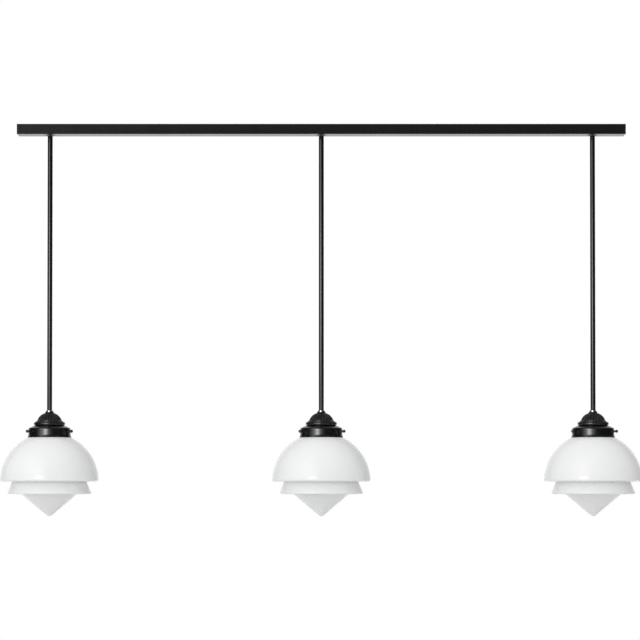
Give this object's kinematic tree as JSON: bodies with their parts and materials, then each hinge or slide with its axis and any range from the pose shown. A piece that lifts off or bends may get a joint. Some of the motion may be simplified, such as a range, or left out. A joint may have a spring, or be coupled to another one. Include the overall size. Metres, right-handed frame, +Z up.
{
  "type": "linear island pendant",
  "caption": "Long ceiling bar with rod lamps on ball swivels; each has a fluted cap and a gallery whose thumb screws hold a stepped opal glass shade with a pointed foot.",
  "frame": {"origin": "centre of the mounting strap's face against the ceiling", "axes": "+Z up into the ceiling, X along the bar, -Y the front of the picture"},
  "size_m": [1.2666, 0.1944, 0.7727],
  "materials": {
    "black_coat": "satin black powder coat",
    "black_screw": "semi-gloss black",
    "zinc_steel": "bright zinc plate",
    "nickel": "polished nickel plate",
    "opal_glass": "glossy opal white",
    "black_plastic": "moulded black",
    "white_plastic": "moulded off-white",
    "black_nylon": "matt nylon",
    "brass": "turned brass",
    "bulb_metal": "rolled shell",
    "bulb_glass": "inside-frosted"
  },
  "bodies": {
    "root": {"ceiling_bar": "black_coat", "mounting_strap": "zinc_steel", "bar_fixing_screws": "black_screw", "terminal_block": "white_plastic", "terminal_screws": "brass", "earth_stud": "brass"},
    "left_swivel": {"left_swivel_liner": "black_nylon"},
    "left_ball": {"left_swivel_ball": "black_coat"},
    "left_pendant": {"left_rod": "black_coat", "left_hex_nuts": "zinc_steel", "left_pale_nut": "nickel", "left_fluted_cap": "black_coat", "left_cap_ring": "black_coat", "left_gallery": "black_coat", "left_lampholder_cap": "black_plastic", "left_lampholder_sleeve": "black_plastic", "left_lampholder_contacts": "white_plastic"},
    "left_bulb": {"left_bulb_cap": "bulb_metal", "left_bulb_glass": "bulb_glass"},
    "left_shade": {"left_glass_shade": "opal_glass"},
    "left_screw_1": {"left_thumb_screw_1": "black_screw"},
    "left_screw_2": {"left_thumb_screw_2": "black_screw"},
    "left_screw_3": {"left_thumb_screw_3": "black_screw"},
    "middle_swivel": {"middle_swivel_liner": "black_nylon"},
    "middle_ball": {"middle_swivel_ball": "black_coat"},
    "middle_pendant": {"middle_rod": "black_coat", "middle_hex_nuts": "zinc_steel", "middle_pale_nut": "nickel", "middle_fluted_cap": "black_coat", "middle_cap_ring": "black_coat", "middle_gallery": "black_coat", "middle_lampholder_cap": "black_plastic", "middle_lampholder_sleeve": "black_plastic", "middle_lampholder_contacts": "white_plastic"},
    "middle_bulb": {"middle_bulb_cap": "bulb_metal", "middle_bulb_glass": "bulb_glass"},
    "middle_shade": {"middle_glass_shade": "opal_glass"},
    "middle_screw_1": {"middle_thumb_screw_1": "black_screw"},
    "middle_screw_2": {"middle_thumb_screw_2": "black_screw"},
    "middle_screw_3": {"middle_thumb_screw_3": "black_screw"},
    "right_swivel": {"right_swivel_liner": "black_nylon"},
    "right_ball": {"right_swivel_ball": "black_coat"},
    "right_pendant": {"right_rod": "black_coat", "right_hex_nuts": "zinc_steel", "right_pale_nut": "nickel", "right_fluted_cap": "black_coat", "right_cap_ring": "black_coat", "right_gallery": "black_coat", "right_lampholder_cap": "black_plastic", "right_lampholder_sleeve": "black_plastic", "right_lampholder_contacts": "white_plastic"},
    "right_bulb": {"right_bulb_cap": "bulb_metal", "right_bulb_glass": "bulb_glass"},
    "right_shade": {"right_glass_shade": "opal_glass"},
    "right_screw_1": {"right_thumb_screw_1": "black_screw"},
    "right_screw_2": {"right_thumb_screw_2": "black_screw"},
    "right_screw_3": {"right_thumb_screw_3": "black_screw"}
  },
  "joints": [
    {"name": "left_swing_fore_aft", "type": "hinge", "parent": "root", "child": "left_swivel", "pos_m": [-0.536, 0, -0.0064], "axis": [1, 0, 0], "range_deg": [-15, 15]},
    {"name": "left_swing_sideways", "type": "hinge", "parent": "left_swivel", "child": "left_ball", "pos_m": [-0.536, 0, -0.0064], "axis": [0, 1, 0], "range_deg": [-15, 15]},
    {"name": "left_turn", "type": "hinge", "parent": "left_ball", "child": "left_pendant", "pos_m": [-0.536, 0, -0.0064], "axis": [0, 0, 1], "range_deg": [-170, 170]},
    {"name": "left_bulb_unscrew", "type": "slide", "parent": "left_pendant", "child": "left_bulb", "axis": [0, 0, -1], "range_m": [0, 0.02]},
    {"name": "left_shade_drop", "type": "slide", "parent": "left_pendant", "child": "left_shade", "axis": [0, 0, -1], "range_m": [0, 0.14]},
    {"name": "left_thumb_screw_1_back_off", "type": "slide", "parent": "left_pendant", "child": "left_screw_1", "axis": [-0.0523, 0.9986, 0], "range_m": [0, 0.0025]},
    {"name": "left_thumb_screw_2_back_off", "type": "slide", "parent": "left_pendant", "child": "left_screw_2", "axis": [-0.8387, -0.5446, 0], "range_m": [0, 0.0025]},
    {"name": "left_thumb_screw_3_back_off", "type": "slide", "parent": "left_pendant", "child": "left_screw_3", "axis": [0.891, -0.454, 0], "range_m": [0, 0.0025]},
    {"name": "middle_swing_fore_aft", "type": "hinge", "parent": "root", "child": "middle_swivel", "pos_m": [0, 0, -0.0064], "axis": [1, 0, 0], "range_deg": [-15, 15]},
    {"name": "middle_swing_sideways", "type": "hinge", "parent": "middle_swivel", "child": "middle_ball", "pos_m": [0, 0, -0.0064], "axis": [0, 1, 0], "range_deg": [-15, 15]},
    {"name": "middle_turn", "type": "hinge", "parent": "middle_ball", "child": "middle_pendant", "pos_m": [0, 0, -0.0064], "axis": [0, 0, 1], "range_deg": [-170, 170]},
    {"name": "middle_bulb_unscrew", "type": "slide", "parent": "middle_pendant", "child": "middle_bulb", "axis": [0, 0, -1], "range_m": [0, 0.02]},
    {"name": "middle_shade_drop", "type": "slide", "parent": "middle_pendant", "child": "middle_shade", "axis": [0, 0, -1], "range_m": [0, 0.14]},
    {"name": "middle_thumb_screw_1_back_off", "type": "slide", "parent": "middle_pendant", "child": "middle_screw_1", "axis": [-0.0523, 0.9986, 0], "range_m": [0, 0.0025]},
    {"name": "middle_thumb_screw_2_back_off", "type": "slide", "parent": "middle_pendant", "child": "middle_screw_2", "axis": [-0.8387, -0.5446, 0], "range_m": [0, 0.0025]},
    {"name": "middle_thumb_screw_3_back_off", "type": "slide", "parent": "middle_pendant", "child": "middle_screw_3", "axis": [0.891, -0.454, 0], "range_m": [0, 0.0025]},
    {"name": "right_swing_fore_aft", "type": "hinge", "parent": "root", "child": "right_swivel", "pos_m": [0.536, 0, -0.0064], "axis": [1, 0, 0], "range_deg": [-15, 15]},
    {"name": "right_swing_sideways", "type": "hinge", "parent": "right_swivel", "child": "right_ball", "pos_m": [0.536, 0, -0.0064], "axis": [0, 1, 0], "range_deg": [-15, 15]},
    {"name": "right_turn", "type": "hinge", "parent": "right_ball", "child": "right_pendant", "pos_m": [0.536, 0, -0.0064], "axis": [0, 0, 1], "range_deg": [-170, 170]},
    {"name": "right_bulb_unscrew", "type": "slide", "parent": "right_pendant", "child": "right_bulb", "axis": [0, 0, -1], "range_m": [0, 0.02]},
    {"name": "right_shade_drop", "type": "slide", "parent": "right_pendant", "child": "right_shade", "axis": [0, 0, -1], "range_m": [0, 0.14]},
    {"name": "right_thumb_screw_1_back_off", "type": "slide", "parent": "right_pendant", "child": "right_screw_1", "axis": [-0.0523, 0.9986, 0], "range_m": [0, 0.0025]},
    {"name": "right_thumb_screw_2_back_off", "type": "slide", "parent": "right_pendant", "child": "right_screw_2", "axis": [-0.8387, -0.5446, 0], "range_m": [0, 0.0025]},
    {"name": "right_thumb_screw_3_back_off", "type": "slide", "parent": "right_pendant", "child": "right_screw_3", "axis": [0.891, -0.454, 0], "range_m": [0, 0.0025]}
  ]
}
